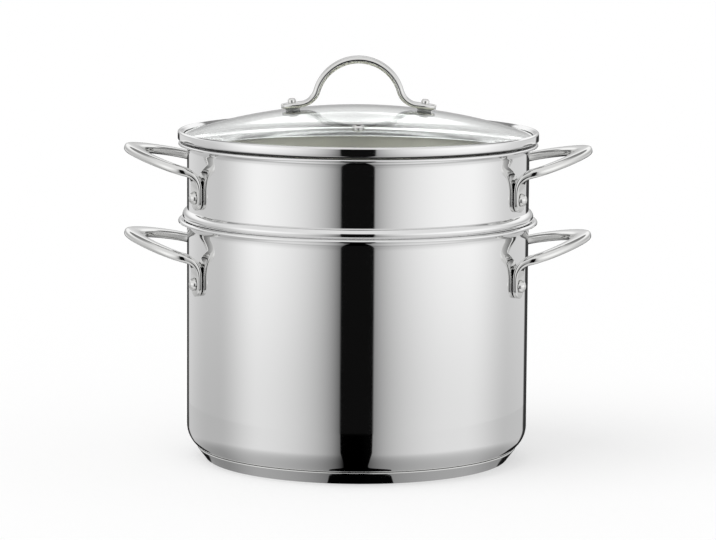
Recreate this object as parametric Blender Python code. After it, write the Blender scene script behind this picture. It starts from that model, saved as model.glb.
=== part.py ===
"""A pasta pot with a lift-out strainer insert and a domed glass lid.

Lengths are in metres and angles in radians. +Z is up, the pot stands on z = 0 and its axis is
the Z axis. The side handles lie along X, and the lid's steam vent is on the -Y side.

Turned pieces come from an outline of (radius, height) points. A sheet-metal piece is first
drawn as the middle line of its sheet, and the outline is that line thickened to both sides.
"""
import math

import bmesh
import bpy
from mathutils import Matrix, Vector
from mathutils.geometry import interpolate_bezier

# Fits and facets
GAP = 0.0003                 # clearance left between two pieces that touch
FACETS = 48                  # facets round each large turned piece
SMALL_FACETS = 10            # facets round a rivet, a washer and their holes
DOME_RINGS = 4               # rings of facets from the top of the glass to its edge
HOLE_SIDES = 6               # sides of each drain hole

# Pot
POT_RADIUS = 0.121           # outside of the wall
POT_WALL = 0.001
POT_HEIGHT = 0.171           # table to the top of the lip
POT_CORNER = 0.018           # outside radius between floor and wall
LIP_ROLL = 0.0055            # outside radius of the flared lip, also the insert's
LIP_SWEEP = math.radians(84)

# Bonded base under the pot
BASE_DEPTH = 0.0061          # table to the underside of the pot's floor
BASE_SKIN = 0.0006           # steel cap
BASE_FOOT_INSET = 0.013      # pot's wall in to the edge of the foot that it stands on
BASE_SEAM_INSET = 0.0074     # pot's wall in to the cap's edge, on the pot's corner
BASE_FOOT_ROUND = 0.0012

# Strainer insert
INSERT_WALL = 0.0008
COLLAR_HEIGHT = 0.0546       # pot lip to insert lip
BEAD_ROUND = 0.0046          # outside radius of the bead that sits on the pot's lip
BEAD_INSET = 0.0014          # centre of the bead's round inside the collar's outside
NECK_CLEARANCE = 0.003       # basket to the inside of the pot
NECK_FILLET = 0.0024
BASKET_BOTTOM = 0.025        # table to the underside of the basket
BASKET_CORNER = 0.012

# Drain holes
HOLE_RADIUS = 0.0034
SIDE_COLUMNS = 24
SIDE_ROWS = 4
SIDE_ROW_LOW = 0.023         # basket's underside to the lowest row
SIDE_ROW_PITCH = 0.024
FLOOR_RINGS = 3
FLOOR_RING_PITCH = 0.026

# Side handles, the same four times
POT_RIVET_DROP = 0.0411          # pot's lip down to the pot's rivets
INSERT_RIVET_RISE = 0.0193       # pot's lip up to the insert's rivets
FOOT_ANGLE = math.radians(24.5)  # from X to each foot, round the wall
FOOT_RADIUS = 0.0068             # half width, and the round of its lower end
FOOT_END = 0.0086                # rivet to the lower end
FOOT_THICKNESS = 0.0034
FOOT_RISE = 0.0056               # rivet to the start of the bend
ARM_WIDTH = 0.0105
ARM_THICKNESS = 0.006
ARM_REACH = 0.0401               # from the bend to the middle of the end, along the loop's plane
ARM_SPREAD = 0.0545              # half distance between the arms where they leave the wall
ARM_SPLAY = math.radians(12)     # how far the arms first lean apart
ARM_ROOT_PULL = 0.0125           # how long they keep that direction
ARM_TIP_PULL = 0.02              # how blunt the loop's end is
ARM_RISE = 0.0189                # rivet to the arm where it leaves the wall
ARM_TILT = math.radians(15)
END_BAR_WIDTH = 0.0118

# Side rivets
RIVET_SHANK = 0.0025
RIVET_HEAD_RADIUS = 0.0046
RIVET_HEAD_HEIGHT = 0.0036
RIVET_TAIL_RADIUS = 0.0045
RIVET_TAIL_HEIGHT = 0.001

# Lid
BAND_OVERHANG = 0.0066       # outside of the collar to the outside of the band
BAND_SKIN = 0.0007
BAND_GRIP = 0.0017           # how far the band's top flange reaches over the glass
BAND_ROUND = 0.0012
BAND_TAPER = 0.001           # how much narrower the band is at its bottom
SKIRT_CLEARANCE = 0.0015     # skirt to the inside of the collar
SKIRT_DEPTH = 0.011
GLASS_EDGE_CLEARANCE = 0.0006    # edge of the glass to the inside of the band, at its bottom
GLASS_THICKNESS = 0.004
GLASS_RISE = 0.0182          # band opening to the top of the dome

# Lid handle
LID_FOOT_OFFSET = 0.0464     # axis to each foot's rivet
LID_FOOT_RADIUS = 0.008
LID_FOOT_THICKNESS = 0.0034
ARCH_HEIGHT = 0.0362         # dome top to arch top
ARCH_ROUND = 0.0306          # middle line of the arch
ARCH_THICKNESS = 0.0048
ARCH_FILLET = 0.0135
LID_SHANK = 0.0018
LID_HEAD_RADIUS = 0.0033
LID_HEAD_HEIGHT = 0.003
LID_TAIL_RADIUS = 0.0036
LID_TAIL_HEIGHT = 0.0014
WASHER_RADIUS = 0.0052
WASHER_THICKNESS = 0.001

# Steam vent
VENT_OFFSET = 0.0775
VENT_BORE = 0.0016
VENT_BARREL = 0.0024
VENT_FLANGE = 0.0042
VENT_FLANGE_THICKNESS = 0.0011

# Places that follow from the sizes above
LIP_CENTRE_RADIUS = POT_RADIUS + LIP_ROLL
BASE_FOOT_RADIUS = POT_RADIUS - BASE_FOOT_INSET
BASE_SEAM_RADIUS = POT_RADIUS - BASE_SEAM_INSET
POT_LIP_CENTRE = POT_HEIGHT - (LIP_ROLL + POT_WALL) * math.sin(LIP_SWEEP)
INSERT_HEIGHT = POT_HEIGHT + COLLAR_HEIGHT
INSERT_LIP_CENTRE = INSERT_HEIGHT - (LIP_ROLL + INSERT_WALL) * math.sin(LIP_SWEEP)
BEAD_CENTRE_RADIUS = POT_RADIUS - BEAD_INSET
NECK_RADIUS = POT_RADIUS - POT_WALL - NECK_CLEARANCE
POT_RIVET_HEIGHT = POT_HEIGHT - POT_RIVET_DROP
INSERT_RIVET_HEIGHT = POT_HEIGHT + INSERT_RIVET_RISE
BAND_RADIUS = POT_RADIUS + BAND_OVERHANG
GLASS_RADIUS = BAND_RADIUS - BAND_SKIN - BAND_TAPER - GLASS_EDGE_CLEARANCE
BAND_OPENING = GLASS_RADIUS - BAND_GRIP
BAND_BOTTOM = INSERT_HEIGHT + GAP
GLASS_ROUND = (BAND_OPENING ** 2 + GLASS_RISE ** 2) / (2 * GLASS_RISE)


def bead_centre_height():
    """Height at which the bead rests on the inside of the pot's flared lip, one gap clear."""
    reach = BEAD_ROUND + LIP_ROLL + POT_WALL + GAP
    across = LIP_CENTRE_RADIUS - BEAD_CENTRE_RADIUS
    return POT_LIP_CENTRE + math.sqrt(reach ** 2 - across ** 2)


def glass_centre_height():
    """Height of the dome's centre, so that the glass edge lies on the band's shelf."""
    edge = BAND_BOTTOM + BAND_SKIN + GAP
    return edge - math.sqrt((GLASS_ROUND - GLASS_THICKNESS) ** 2 - GLASS_RADIUS ** 2)


def dome_reach(radius):
    """Angle from the top of a dome of this radius to the glass edge."""
    return math.asin(GLASS_RADIUS / radius)


def under_glass():
    """Where a piece may touch the glass from below: its facets sag under the true dome."""
    sag = GLASS_ROUND * (1 - math.cos(dome_reach(GLASS_ROUND) / DOME_RINGS / 2))
    return -GLASS_THICKNESS - sag - GAP


GLASS_CENTRE = glass_centre_height()
DOME_TOP = GLASS_CENTRE + GLASS_ROUND


def arc(centre, radius, start, end, steps):
    """Points on an arc, both ends included, in (radius, height) coordinates."""
    points = []
    for step in range(steps + 1):
        angle = start + (end - start) * step / steps
        points.append((centre[0] + radius * math.cos(angle), centre[1] + radius * math.sin(angle)))
    return points


def offset_line(line, distance):
    """The line moved sideways, to the right of its direction, with mitred corners."""
    moved = []
    for i, here in enumerate(line):
        here = Vector(here)
        before = (here - Vector(line[i - 1])).normalized() if i > 0 else None
        after = (Vector(line[i + 1]) - here).normalized() if i < len(line) - 1 else None
        before = before or after
        after = after or before
        normal_before = Vector((before.y, -before.x))
        normal_after = Vector((after.y, -after.x))
        mitre = (normal_before + normal_after).normalized()
        moved.append(tuple(here + mitre * (distance / mitre.dot(normal_before))))
    return moved


def sheet(line, thickness):
    """Closed outline of a sheet whose middle is the line."""
    return offset_line(line, thickness / 2) + offset_line(line, -thickness / 2)[::-1]


def turned_mesh(name, outline, facets, ring=False):
    """Turn an outline round Z. A ring's outline closes on itself; any other starts and ends on the
    axis, where a level end becomes one flat face and a sloping one a fan."""
    bm = bmesh.new()
    points = list(outline)
    caps = []
    if not ring:
        if math.isclose(points[0][1], points[1][1], abs_tol=1e-9):
            points.pop(0)
            caps.append(0)
        if math.isclose(points[-1][1], points[-2][1], abs_tol=1e-9):
            points.pop()
            caps.append(-1)
    rings = []
    for radius, height in points:
        if radius < 1e-9:
            rings.append([bm.verts.new((0, 0, height))])
            continue
        turns = [2 * math.pi * i / facets for i in range(facets)]
        rings.append([bm.verts.new((radius * math.cos(a), radius * math.sin(a), height)) for a in turns])
    pairs = list(zip(rings, rings[1:]))
    if ring:
        pairs.append((rings[-1], rings[0]))
    for low, high in pairs:
        for i in range(facets):
            j = (i + 1) % facets
            corners = [low[i % len(low)], low[j % len(low)], high[j % len(high)], high[i % len(high)]]
            bm.faces.new(list(dict.fromkeys(corners)))
    for cap in caps:
        bm.faces.new(rings[cap])
    return finished_mesh(name, bm)


def swept_mesh(name, stations):
    """Loft one bar through stations of (centre, along, side, half width, half thickness)."""
    bm = bmesh.new()
    loops = []
    for centre, along, side, width, thickness in stations:
        side = (side - along * side.dot(along)).normalized()
        outward = side.cross(along)
        bevel = min(0.62 * thickness, 0.5 * width)
        corners = [(width, thickness - bevel), (width - bevel, thickness)]
        corners += [(-x, y) for x, y in corners[::-1]]
        corners += [(x, -y) for x, y in corners[::-1]]
        loops.append([bm.verts.new(centre + side * x + outward * y) for x, y in corners])
    for low, high in zip(loops, loops[1:]):
        for i in range(len(low)):
            j = (i + 1) % len(low)
            bm.faces.new((low[i], low[j], high[j], high[i]))
    bm.faces.new(loops[0])
    bm.faces.new(loops[-1])
    return finished_mesh(name, bm)


def finished_mesh(name, bm):
    """Mesh with its faces pointing out and smooth shading up to a clear edge."""
    bmesh.ops.recalc_face_normals(bm, faces=bm.faces)
    mesh = bpy.data.meshes.new(name)
    bm.to_mesh(mesh)
    bm.free()
    mesh.shade_smooth()
    mesh.set_sharp_from_angle(angle=math.radians(35))
    return mesh


def material(name, colour, roughness, metallic):
    """Principled material of one node."""
    made = bpy.data.materials.new(name)
    made.use_nodes = True
    shader = made.node_tree.nodes["Principled BSDF"]
    shader.inputs["Base Color"].default_value = (*colour, 1)
    shader.inputs["Roughness"].default_value = roughness
    shader.inputs["Metallic"].default_value = metallic
    return made


def place(name, mesh, look, matrix=None):
    """Object for one node, with a material of its own."""
    piece = bpy.data.objects.new(name, mesh)
    bpy.context.scene.collection.objects.link(piece)
    if matrix is not None:
        piece.matrix_world = matrix
    if not mesh.materials:
        mesh.materials.append(None)
    piece.material_slots[0].link = "OBJECT"
    piece.material_slots[0].material = material(name, *look)
    return piece


STEEL = ((0.78, 0.78, 0.77), 0.12, 1.0)
SATIN_STEEL = ((0.70, 0.70, 0.69), 0.30, 1.0)
ALUMINIUM = ((0.80, 0.80, 0.82), 0.45, 1.0)
GLASS = ((0.90, 0.95, 0.94), 0.02, 0.0)
SILICONE = ((0.82, 0.82, 0.80), 0.55, 0.0)


def cut(mesh, cutters):
    """The mesh with every closed body of the cutters taken away."""
    scene = bpy.context.scene.collection
    blank = bpy.data.objects.new("blank", mesh)
    tool = bpy.data.objects.new("tool", cutters)
    scene.objects.link(blank)
    scene.objects.link(tool)
    boolean = blank.modifiers.new("cut", "BOOLEAN")
    boolean.operation = "DIFFERENCE"
    boolean.solver = "EXACT"
    boolean.object = tool
    graph = bpy.context.evaluated_depsgraph_get()
    result = bpy.data.meshes.new_from_object(blank.evaluated_get(graph))
    result.name = mesh.name
    bpy.data.objects.remove(blank)
    bpy.data.objects.remove(tool)
    result.set_sharp_from_angle(angle=math.radians(35))
    return result


def drills(places, radius, reach, sides):
    """Cutter mesh with one prism on each matrix's Z axis, from -reach to +reach."""
    bm = bmesh.new()
    for matrix in places:
        bmesh.ops.create_cone(bm, cap_ends=True, segments=sides, radius1=radius, radius2=radius,
                              depth=2 * reach, matrix=matrix)
    bmesh.ops.recalc_face_normals(bm, faces=bm.faces)
    mesh = bpy.data.meshes.new("drills")
    bm.to_mesh(mesh)
    bm.free()
    return mesh


def wall_place(angle, height, radius=POT_RADIUS):
    """Frame on a round wall, with its Z axis pointing straight out of the wall."""
    turn = Matrix.Rotation(angle, 4, "Z") @ Matrix.Rotation(math.pi / 2, 4, "Y")
    out = Vector((radius * math.cos(angle), radius * math.sin(angle), height))
    return Matrix.Translation(out) @ turn


def dome_place(x, y):
    """Frame on the outside of the glass, with its Z axis square to the dome."""
    height = math.sqrt(GLASS_ROUND ** 2 - x ** 2 - y ** 2)
    normal = Vector((x, y, height)).normalized()
    turn = Vector((0, 0, 1)).rotation_difference(normal).to_matrix().to_4x4()
    return Matrix.Translation(Vector((x, y, GLASS_CENTRE + height))) @ turn


def foot_angles():
    """Place of each side rivet round the wall, by the name of its side."""
    return {
        "right_front": -FOOT_ANGLE,
        "right_back": FOOT_ANGLE,
        "left_front": math.pi + FOOT_ANGLE,
        "left_back": math.pi - FOOT_ANGLE,
    }


def rivet_drills(height):
    places = [wall_place(angle, height) for angle in foot_angles().values()]
    return drills(places, RIVET_SHANK + GAP, 3 * FOOT_THICKNESS, SMALL_FACETS)


def lip_line(centre_height, wall):
    """Middle line of a flared lip, from the wall up and out."""
    middle = LIP_ROLL + wall / 2
    return arc((LIP_CENTRE_RADIUS, centre_height), middle, math.pi, math.pi - LIP_SWEEP, 3)


def pot_shell():
    inside = POT_CORNER - POT_WALL / 2
    corner = (POT_RADIUS - POT_CORNER, BASE_DEPTH + POT_CORNER)
    line = [(0, BASE_DEPTH + POT_WALL / 2)]
    line += arc(corner, inside, -math.pi / 2, 0, 3)
    line += lip_line(POT_LIP_CENTRE, POT_WALL)
    mesh = turned_mesh("pot_shell", sheet(line, POT_WALL), FACETS)
    place("pot_shell", cut(mesh, rivet_drills(POT_RIVET_HEIGHT)), STEEL)


def corner_height(radius, clear):
    """Height of a surface that follows the pot's bottom corner on its outside."""
    across = radius - (POT_RADIUS - POT_CORNER)
    return BASE_DEPTH + POT_CORNER - math.sqrt((POT_CORNER + clear) ** 2 - across ** 2)


def bonded_base():
    """A steel cap with a slanted side, and the aluminium disc that it closes in."""
    seam_inner = BASE_SEAM_RADIUS - BASE_SKIN
    foot_inner = BASE_FOOT_RADIUS - BASE_SKIN
    seam = corner_height(BASE_SEAM_RADIUS, GAP)
    seam_inner_height = corner_height(seam_inner, GAP)
    cap = [(0, 0), (BASE_FOOT_RADIUS - BASE_FOOT_ROUND, 0), (BASE_FOOT_RADIUS, BASE_FOOT_ROUND / 2)]
    cap += [(BASE_SEAM_RADIUS, seam), (seam_inner, seam_inner_height)]
    cap += [(foot_inner, BASE_SKIN), (0, BASE_SKIN)]
    place("base_cap", turned_mesh("base_cap", cap, FACETS), STEEL)

    floor_edge = POT_RADIUS - POT_CORNER
    rim = floor_edge + 0.75 * (seam_inner - floor_edge)
    rim_height = corner_height(rim, GAP)
    core = [(0, BASE_SKIN + GAP), (foot_inner - GAP, BASE_SKIN + GAP), (rim, rim_height)]
    core += [(floor_edge, BASE_DEPTH - GAP), (0, BASE_DEPTH - GAP)]
    place("base_core", turned_mesh("base_core", core, FACETS), ALUMINIUM)


def basket_line():
    """Middle line of the insert: basket floor, corner, neck, bead, collar and lip."""
    half = INSERT_WALL / 2
    neck = NECK_RADIUS - half
    bead_height = bead_centre_height()
    bead_round = BEAD_ROUND - half
    fillet = NECK_FILLET - half
    corner = BASKET_CORNER - half
    line = [(0, BASKET_BOTTOM + half)]
    line += arc((neck - corner, BASKET_BOTTOM + half + corner), corner, -math.pi / 2, 0, 2)
    line += arc((neck + fillet, bead_height - bead_round - fillet), fillet, math.pi, math.pi / 2, 1)
    bead_end = math.acos((POT_RADIUS - half - BEAD_CENTRE_RADIUS) / bead_round)
    line += arc((BEAD_CENTRE_RADIUS, bead_height), bead_round, -math.pi / 2, bead_end, 4)
    return line + lip_line(INSERT_LIP_CENTRE, INSERT_WALL)


def drain_places():
    """Frames of all drain holes: staggered rows round the side, and rings on the floor."""
    places = []
    step = 2 * math.pi / SIDE_COLUMNS
    for row in range(SIDE_ROWS):
        height = BASKET_BOTTOM + SIDE_ROW_LOW + row * SIDE_ROW_PITCH
        for column in range(SIDE_COLUMNS):
            angle = (column + 0.5 * (row % 2) + 0.25) * step
            places.append(wall_place(angle, height, NECK_RADIUS))
    places.append(Matrix.Translation((0, 0, BASKET_BOTTOM)))
    for ring in range(1, FLOOR_RINGS + 1):
        for hole in range(6 * ring):
            angle = 2 * math.pi * hole / (6 * ring)
            out = Vector((ring * FLOOR_RING_PITCH, 0, BASKET_BOTTOM))
            places.append(Matrix.Rotation(angle, 4, "Z") @ Matrix.Translation(out))
    return places


def insert_shell():
    """The strainer: collar, bead and perforated basket drawn from one sheet."""
    mesh = turned_mesh("insert_shell", sheet(basket_line(), INSERT_WALL), FACETS)
    mesh = cut(mesh, drills(drain_places(), HOLE_RADIUS, 4 * INSERT_WALL, HOLE_SIDES))
    place("insert_shell", cut(mesh, rivet_drills(INSERT_RIVET_HEIGHT)), STEEL)


def smooth(amount):
    """0 to 1 with level ends."""
    return amount * amount * (3 - 2 * amount)


def side_handle_half():
    """Stations of half a side handle, from the foot's lower end to just before the end bar.

    The handle lies at +X with its rivets at height 0. Its arms are a curve in a plane that rises
    outwards, and each foot is turned down against the wall."""
    stations = []
    out = Vector((math.cos(FOOT_ANGLE), math.sin(FOOT_ANGLE), 0))
    around = Vector((-out.y, out.x, 0))
    foot_middle = out * (POT_RADIUS + GAP + FOOT_THICKNESS / 2)
    up = Vector((0, 0, 1))
    for share in (0.2, 0.6, 1.0):
        drop = FOOT_RADIUS * (1 - share)
        width = math.sqrt(FOOT_RADIUS ** 2 - drop ** 2)
        place_down = up * (FOOT_END - FOOT_RADIUS + drop)
        stations.append((foot_middle - place_down, up, around, width, FOOT_THICKNESS / 2))

    plane_along = Vector((math.cos(ARM_TILT), 0, math.sin(ARM_TILT)))
    plane_up = Vector((-math.sin(ARM_TILT), 0, math.cos(ARM_TILT)))
    across = Vector((0, 1, 0))
    root = Vector((POT_RADIUS, ARM_SPREAD, ARM_RISE))
    tip = Vector((POT_RADIUS, 0, ARM_RISE)) + plane_along * ARM_REACH
    splayed = plane_along * math.cos(ARM_SPLAY) + across * math.sin(ARM_SPLAY)
    root_pull = root + splayed * ARM_ROOT_PULL
    tip_pull = tip + across * ARM_TIP_PULL

    def arm_point(share):
        rest = 1 - share
        ends = root * rest ** 3 + tip * share ** 3
        return ends + root_pull * 3 * rest ** 2 * share + tip_pull * 3 * rest * share ** 2

    def arm_along(share):
        rest = 1 - share
        ends = (root_pull - root) * rest ** 2 + (tip - tip_pull) * share ** 2
        return (ends + (tip_pull - root_pull) * 2 * rest * share).normalized()

    bend_start = foot_middle + up * FOOT_RISE
    pull = 0.55 * (ARM_RISE - FOOT_RISE)
    bend_end = arm_point(0)
    knots = (bend_start, bend_start + up * pull, bend_end - arm_along(0) * pull, bend_end)
    bend = interpolate_bezier(*knots, 5)
    arm_side = plane_up.cross(arm_along(0))
    for i, point in enumerate(bend[:-1]):
        share = i / (len(bend) - 1)
        along = up if i == 0 else (bend[i + 1] - bend[i - 1]).normalized()
        side = around.lerp(arm_side, share)
        grown = smooth(share)
        width = FOOT_RADIUS * (1 - grown) + ARM_WIDTH / 2 * grown
        thickness = FOOT_THICKNESS * (1 - grown) + ARM_THICKNESS * grown
        stations.append((point, along, side, width, thickness / 2))
    arm_steps = 4
    for i in range(arm_steps):
        share = i / arm_steps
        width = ARM_WIDTH + (END_BAR_WIDTH - ARM_WIDTH) * smooth(share)
        along = arm_along(share)
        stations.append((arm_point(share), along, plane_up.cross(along), width / 2, ARM_THICKNESS / 2))
    bar = (tip, -across, plane_up.cross(-across), END_BAR_WIDTH / 2, ARM_THICKNESS / 2)
    return stations, bar


def mirrored(stations, axis):
    """The same stations seen in a mirror across an axis, run the other way."""
    flip = Matrix.Scale(-1, 3, axis)
    return [(flip @ p, -(flip @ a), flip @ s, w, t) for p, a, s, w, t in stations[::-1]]


def side_handle_mesh():
    half, bar = side_handle_half()
    other = mirrored(half, Vector((0, 1, 0)))
    mesh = swept_mesh("side_handle", half + [bar] + other)
    places = [wall_place(angle, 0) for angle in (FOOT_ANGLE, -FOOT_ANGLE)]
    return cut(mesh, drills(places, RIVET_SHANK + GAP, 3 * FOOT_THICKNESS, SMALL_FACETS))


def rivet_outline(shank, tail, head, inner, outer):
    """Outline of a set rivet: tail and head are (radius, height), and inner and outer are the
    heights of the faces that they press on."""
    points = [(0, inner - tail[1]), (tail[0], inner - tail[1]), (tail[0], inner)]
    points += [(shank, inner), (shank, outer), (head[0], outer)]
    for angle in (math.radians(30), math.radians(60)):
        points.append((head[0] * math.cos(angle), outer + head[1] * math.sin(angle)))
    return points + [(0, outer + head[1])]


def side_rivet_mesh(name, wall):
    """A rivet in its own frame: Z points out of the wall and 0 is the wall's outside."""
    inside = POT_RADIUS - wall
    facet_drop = inside * (1 - math.cos(math.pi / FACETS))
    curve_drop = RIVET_TAIL_RADIUS ** 2 / (2 * inside)
    inner = -wall - facet_drop - curve_drop - GAP
    outer = GAP + FOOT_THICKNESS + GAP
    tail = (RIVET_TAIL_RADIUS, RIVET_TAIL_HEIGHT)
    head = (RIVET_HEAD_RADIUS, RIVET_HEAD_HEIGHT)
    return turned_mesh(name, rivet_outline(RIVET_SHANK, tail, head, inner, outer), SMALL_FACETS)


def side_handles(body, height, wall):
    """Two handles and their four rivets on one wall."""
    handle = side_handle_mesh()
    rivet = side_rivet_mesh(body + "_rivet", wall)
    for side, turn in (("right", 0), ("left", math.pi)):
        matrix = Matrix.Translation((0, 0, height)) @ Matrix.Rotation(turn, 4, "Z")
        place(f"{body}_handle_{side}", handle, STEEL, matrix)
    for side, angle in foot_angles().items():
        place(f"{body}_rivet_{side}", rivet, STEEL, wall_place(angle, height))


def flange_height(radius):
    """Middle of the band's sheet where it lies one gap above the glass."""
    return GLASS_CENTRE + math.sqrt(GLASS_ROUND ** 2 - radius ** 2) + GAP + BAND_SKIN / 2


def lid_band():
    """Rolled rim: a flange that lies on the glass, a side that narrows downwards, a shelf under the
    glass and a skirt."""
    half = BAND_SKIN / 2
    outer = BAND_RADIUS - half
    bottom = outer - BAND_TAPER
    flange = flange_height(BAND_OPENING)
    corner = flange_height(outer - BAND_ROUND)
    slope = math.asin(outer / GLASS_ROUND)
    shelf = BAND_BOTTOM + half
    skirt = POT_RADIUS - INSERT_WALL - SKIRT_CLEARANCE - half
    line = [(BAND_OPENING, flange)]
    line += arc((outer - BAND_ROUND, corner - BAND_ROUND), BAND_ROUND, math.pi / 2 - slope, 0, 2)
    line += arc((bottom - BAND_ROUND, shelf + BAND_ROUND), BAND_ROUND, 0, -math.pi / 2, 2)
    line += [(skirt, shelf), (skirt, shelf - SKIRT_DEPTH)]
    place("lid_rim_band", turned_mesh("lid_rim_band", sheet(line, BAND_SKIN), FACETS, ring=True), STEEL)


def dome_arc(radius):
    """Points from the axis out to the glass edge on a sphere about the dome's centre."""
    return arc((0, GLASS_CENTRE), radius, math.pi / 2, math.pi / 2 - dome_reach(radius), DOME_RINGS)


def lid_glass():
    top = dome_arc(GLASS_ROUND)
    under = dome_arc(GLASS_ROUND - GLASS_THICKNESS)
    mesh = turned_mesh("lid_glass", top + under[::-1], FACETS)
    feet = [dome_place(-LID_FOOT_OFFSET, 0), dome_place(LID_FOOT_OFFSET, 0)]
    mesh = cut(mesh, drills(feet, LID_SHANK + GAP, 2 * GLASS_THICKNESS, SMALL_FACETS))
    vent = [dome_place(0, -VENT_OFFSET)]
    mesh = cut(mesh, drills(vent, VENT_BARREL + GAP, 2 * GLASS_THICKNESS, SMALL_FACETS))
    place("lid_glass", mesh, GLASS)


def lid_foot_height():
    """From the glass to the underside of the handle's foot: gap, washer, gap."""
    return GAP + WASHER_THICKNESS + GAP


def lid_handle_half():
    """Stations from the right foot's tip up the arch, in the XZ plane, and the top station."""
    frame = dome_place(LID_FOOT_OFFSET, 0)
    normal = (frame.to_3x3() @ Vector((0, 0, 1))).normalized()
    inward = Vector((-normal.z, 0, normal.x))
    side = Vector((0, 1, 0))
    rivet = frame.translation + normal * (lid_foot_height() + LID_FOOT_THICKNESS / 2)
    stations = []
    for share in (0.2, 0.6, 1.0):
        out = LID_FOOT_RADIUS * (1 - share)
        width = math.sqrt(LID_FOOT_RADIUS ** 2 - out ** 2)
        stations.append((rivet - inward * out, inward, side, width, LID_FOOT_THICKNESS / 2))

    arch_centre = Vector((0, 0, DOME_TOP + ARCH_HEIGHT - ARCH_THICKNESS / 2 - ARCH_ROUND))
    start = rivet + normal * ARCH_FILLET - arch_centre
    along = start.dot(inward)
    reach = ARCH_ROUND + ARCH_FILLET
    slide = -along - math.sqrt(along ** 2 - start.length_squared + reach ** 2)
    fillet_centre = rivet + normal * ARCH_FILLET + inward * slide
    first = -normal
    last = (arch_centre - fillet_centre).normalized()
    turn = first.angle(last)
    fillet_steps = 4
    for i in range(fillet_steps):
        share = i / fillet_steps
        ray = Matrix.Rotation(turn * share, 3, "Y") @ first
        thickness = LID_FOOT_THICKNESS + (ARCH_THICKNESS - LID_FOOT_THICKNESS) * smooth(share)
        forward = Vector((ray.z, 0, -ray.x))
        stations.append((fillet_centre + ray * ARCH_FILLET, forward, side, LID_FOOT_RADIUS, thickness / 2))
    low = math.atan2(-last.z, -last.x)
    arch_steps = 5
    for i in range(arch_steps + 1):
        angle = low + (math.pi / 2 - low) * i / arch_steps
        ray = Vector((math.cos(angle), 0, math.sin(angle)))
        forward = Vector((-ray.z, 0, ray.x))
        stations.append((arch_centre + ray * ARCH_ROUND, forward, side, LID_FOOT_RADIUS, ARCH_THICKNESS / 2))
    return stations[:-1], stations[-1]


def lid_handle():
    half, top = lid_handle_half()
    other = mirrored(half, Vector((1, 0, 0)))
    mesh = swept_mesh("lid_handle", half + [top] + other)
    feet = [dome_place(-LID_FOOT_OFFSET, 0), dome_place(LID_FOOT_OFFSET, 0)]
    mesh = cut(mesh, drills(feet, LID_SHANK + GAP, 2 * GLASS_THICKNESS, SMALL_FACETS))
    place("lid_handle", mesh, STEEL)


def washer_mesh(low):
    """Flat washer in the frame of the dome, its underside at the height given."""
    inner = LID_SHANK + GAP
    high = low + WASHER_THICKNESS
    outline = [(inner, low), (WASHER_RADIUS, low), (WASHER_RADIUS, high), (inner, high)]
    return turned_mesh("lid_washer", outline, SMALL_FACETS, ring=True)


def lid_fasteners():
    """Rivets through handle foot, washer, glass and lower washer."""
    upper = washer_mesh(GAP)
    lower = washer_mesh(under_glass() - WASHER_THICKNESS)
    inner = under_glass() - WASHER_THICKNESS - GAP
    outer = lid_foot_height() + LID_FOOT_THICKNESS + GAP
    tail = (LID_TAIL_RADIUS, LID_TAIL_HEIGHT)
    head = (LID_HEAD_RADIUS, LID_HEAD_HEIGHT)
    rivet = turned_mesh("lid_rivet", rivet_outline(LID_SHANK, tail, head, inner, outer), SMALL_FACETS)
    for side, x in (("left", -LID_FOOT_OFFSET), ("right", LID_FOOT_OFFSET)):
        place(f"lid_rivet_{side}", rivet, STEEL, dome_place(x, 0))
        place(f"lid_washer_upper_{side}", upper, SILICONE, dome_place(x, 0))
        place(f"lid_washer_lower_{side}", lower, SILICONE, dome_place(x, 0))


def vent_grommet():
    """Eyelet of the steam vent, rolled over the glass on both sides."""
    low = under_glass()
    thick = VENT_FLANGE_THICKNESS
    outline = [(VENT_BORE, low - thick), (VENT_FLANGE, low - thick / 2), (VENT_FLANGE, low)]
    outline += [(VENT_BARREL, low), (VENT_BARREL, GAP), (VENT_FLANGE, GAP)]
    outline += [(VENT_FLANGE, GAP + thick / 2), (VENT_BORE, GAP + thick)]
    mesh = turned_mesh("vent_grommet", outline, SMALL_FACETS, ring=True)
    place("vent_grommet", mesh, STEEL, dome_place(0, -VENT_OFFSET))


def main():
    for old in list(bpy.data.objects):
        bpy.data.objects.remove(old)
    pot_shell()
    bonded_base()
    side_handles("pot", POT_RIVET_HEIGHT, POT_WALL)
    insert_shell()
    side_handles("insert", INSERT_RIVET_HEIGHT, INSERT_WALL)
    lid_glass()
    lid_band()
    lid_handle()
    lid_fasteners()
    vent_grommet()


main()
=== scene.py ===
"""The looks of the pasta pot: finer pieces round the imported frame, materials, studio and camera.

Lengths are in metres and angles in radians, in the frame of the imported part: +Z is up, the pot
stands on z = 0, the side handles lie along X and the lid's steam vent is on the -Y side.
"""
from math import acos, asin, atan2, copysign, cos, degrees, pi, radians, sin, sqrt

import bmesh
import bpy
from mathutils import Matrix, Vector
from mathutils.geometry import delaunay_2d_cdt, interpolate_bezier


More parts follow.
